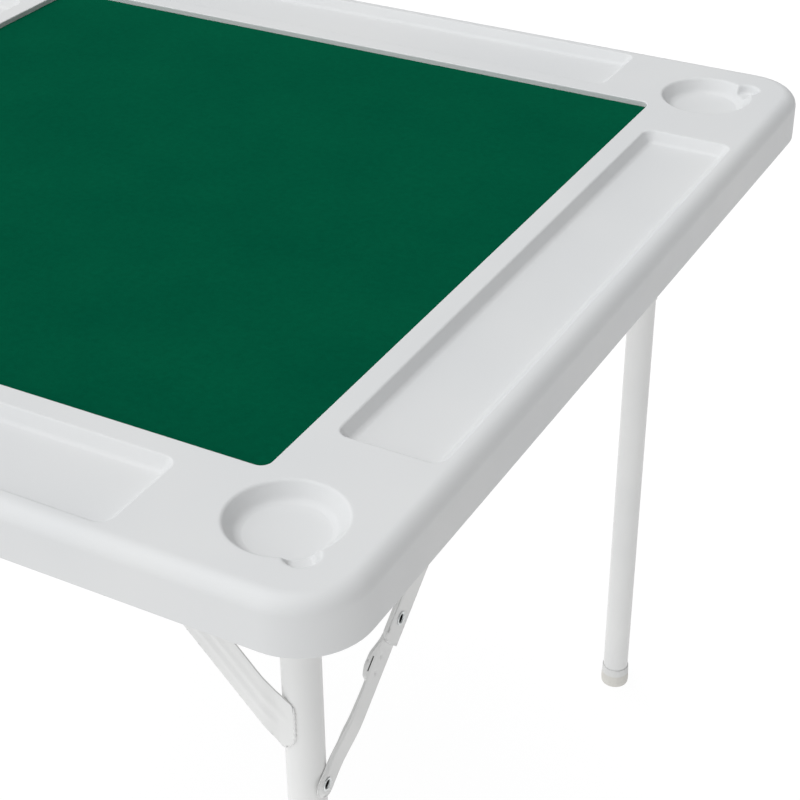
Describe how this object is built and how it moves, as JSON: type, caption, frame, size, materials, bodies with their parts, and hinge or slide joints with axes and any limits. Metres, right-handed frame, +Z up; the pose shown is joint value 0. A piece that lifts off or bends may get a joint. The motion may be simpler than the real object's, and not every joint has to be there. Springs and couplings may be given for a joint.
{
  "type": "folding card table",
  "caption": "Square folding games table with a moulded plastic top, recessed felt field, side trays, corner cup holders and folding tubular steel legs.",
  "frame": {"origin": "on the floor, under the middle of the top", "axes": "+Z up, +X to the right, +Y to the rear; the front leg frame, at -Y, is the wider one"},
  "size_m": [0.88, 0.88, 0.725],
  "materials": {
    "white_plastic": "off-white blow-moulded polyethylene, fine matte texture",
    "green_felt": "short-pile green felt",
    "white_steel": "white satin powder coat",
    "foot_plastic": "warm light grey matte moulded plastic",
    "zinc_steel": "bright zinc plate",
    "black_nylon": "black nylon"
  },
  "bodies": {
    "root": {"tabletop": "white_plastic", "felt_sheet": "green_felt", "side_rail_left": "white_steel", "strut_bracket_left": "white_steel", "rail_screw_left_1": "zinc_steel", "rail_screw_left_2": "zinc_steel", "rail_screw_left_3": "zinc_steel", "bracket_screw_left_1": "zinc_steel", "bracket_screw_left_2": "zinc_steel", "side_rail_right": "white_steel", "strut_bracket_right": "white_steel", "rail_screw_right_1": "zinc_steel", "rail_screw_right_2": "zinc_steel", "rail_screw_right_3": "zinc_steel", "bracket_screw_right_1": "zinc_steel", "bracket_screw_right_2": "zinc_steel", "front_pivot_bolt_left": "zinc_steel", "front_strut_pin_left": "zinc_steel", "front_pivot_bolt_right": "zinc_steel", "front_strut_pin_right": "zinc_steel", "rear_pivot_bolt_left": "zinc_steel", "rear_strut_pin_left": "zinc_steel", "rear_pivot_bolt_right": "zinc_steel", "rear_strut_pin_right": "zinc_steel"},
    "front_leg_frame": {"front_cross_tube": "white_steel", "front_leg_left": "white_steel", "front_leg_right": "white_steel", "front_gusset_left": "white_steel", "front_gusset_right": "white_steel", "front_foot_cap_left": "foot_plastic", "front_foot_cap_right": "foot_plastic", "front_pivot_plug_left": "black_nylon", "front_pivot_plug_right": "black_nylon"},
    "front_upper_strut_left": {"front_upper_link_left": "white_steel", "front_elbow_rivet_left": "zinc_steel"},
    "front_lower_strut_left": {"front_lower_link_left": "white_steel", "front_leg_rivet_left": "zinc_steel"},
    "front_upper_strut_right": {"front_upper_link_right": "white_steel", "front_elbow_rivet_right": "zinc_steel"},
    "front_lower_strut_right": {"front_lower_link_right": "white_steel", "front_leg_rivet_right": "zinc_steel"},
    "rear_leg_frame": {"rear_cross_tube": "white_steel", "rear_leg_left": "white_steel", "rear_leg_right": "white_steel", "rear_gusset_left": "white_steel", "rear_gusset_right": "white_steel", "rear_foot_cap_left": "foot_plastic", "rear_foot_cap_right": "foot_plastic", "rear_pivot_plug_left": "black_nylon", "rear_pivot_plug_right": "black_nylon"},
    "rear_upper_strut_left": {"rear_upper_link_left": "white_steel", "rear_elbow_rivet_left": "zinc_steel"},
    "rear_lower_strut_left": {"rear_lower_link_left": "white_steel", "rear_leg_rivet_left": "zinc_steel"},
    "rear_upper_strut_right": {"rear_upper_link_right": "white_steel", "rear_elbow_rivet_right": "zinc_steel"},
    "rear_lower_strut_right": {"rear_lower_link_right": "white_steel", "rear_leg_rivet_right": "zinc_steel"}
  },
  "joints": [
    {"name": "front_leg_fold", "type": "hinge", "parent": "root", "child": "front_leg_frame", "pos_m": [0, -0.3685, 0.6935], "axis": [1, 0, 0], "range_deg": [0, 90]},
    {"name": "front_strut_left", "type": "hinge", "parent": "root", "child": "front_upper_strut_left", "pos_m": [-0.3931, -0.1425, 0.6935], "axis": [1, 0, 0], "range_deg": [-38.55, 0]},
    {"name": "front_elbow_left", "type": "hinge", "parent": "front_upper_strut_left", "child": "front_lower_strut_left", "pos_m": [-0.3921, -0.27349, 0.58917], "axis": [1, 0, 0], "range_deg": [0, 180]},
    {"name": "front_strut_right", "type": "hinge", "parent": "root", "child": "front_upper_strut_right", "pos_m": [0.3931, -0.1425, 0.6935], "axis": [1, 0, 0], "range_deg": [-38.55, 0]},
    {"name": "front_elbow_right", "type": "hinge", "parent": "front_upper_strut_right", "child": "front_lower_strut_right", "pos_m": [0.3921, -0.27349, 0.58917], "axis": [1, 0, 0], "range_deg": [0, 180]},
    {"name": "rear_leg_fold", "type": "hinge", "parent": "root", "child": "rear_leg_frame", "pos_m": [0, 0.3685, 0.6935], "axis": [-1, 0, 0], "range_deg": [0, 90]},
    {"name": "rear_strut_left", "type": "hinge", "parent": "root", "child": "rear_upper_strut_left", "pos_m": [-0.3371, 0.1425, 0.6935], "axis": [-1, 0, 0], "range_deg": [-38.55, 0]},
    {"name": "rear_elbow_left", "type": "hinge", "parent": "rear_upper_strut_left", "child": "rear_lower_strut_left", "pos_m": [-0.3361, 0.27349, 0.58917], "axis": [-1, 0, 0], "range_deg": [0, 180]},
    {"name": "rear_strut_right", "type": "hinge", "parent": "root", "child": "rear_upper_strut_right", "pos_m": [0.3371, 0.1425, 0.6935], "axis": [-1, 0, 0], "range_deg": [-38.55, 0]},
    {"name": "rear_elbow_right", "type": "hinge", "parent": "rear_upper_strut_right", "child": "rear_lower_strut_right", "pos_m": [0.3361, 0.27349, 0.58917], "axis": [-1, 0, 0], "range_deg": [0, 180]}
  ],
  "couplings": [
    {"joint": "front_strut_left", "follows": "front_leg_fold", "ratio": -0.42818},
    {"joint": "front_elbow_left", "follows": "front_leg_fold", "ratio": 2},
    {"joint": "front_strut_right", "follows": "front_leg_fold", "ratio": -0.42818},
    {"joint": "front_elbow_right", "follows": "front_leg_fold", "ratio": 2},
    {"joint": "rear_strut_left", "follows": "rear_leg_fold", "ratio": -0.42818},
    {"joint": "rear_elbow_left", "follows": "rear_leg_fold", "ratio": 2},
    {"joint": "rear_strut_right", "follows": "rear_leg_fold", "ratio": -0.42818},
    {"joint": "rear_elbow_right", "follows": "rear_leg_fold", "ratio": 2}
  ]
}
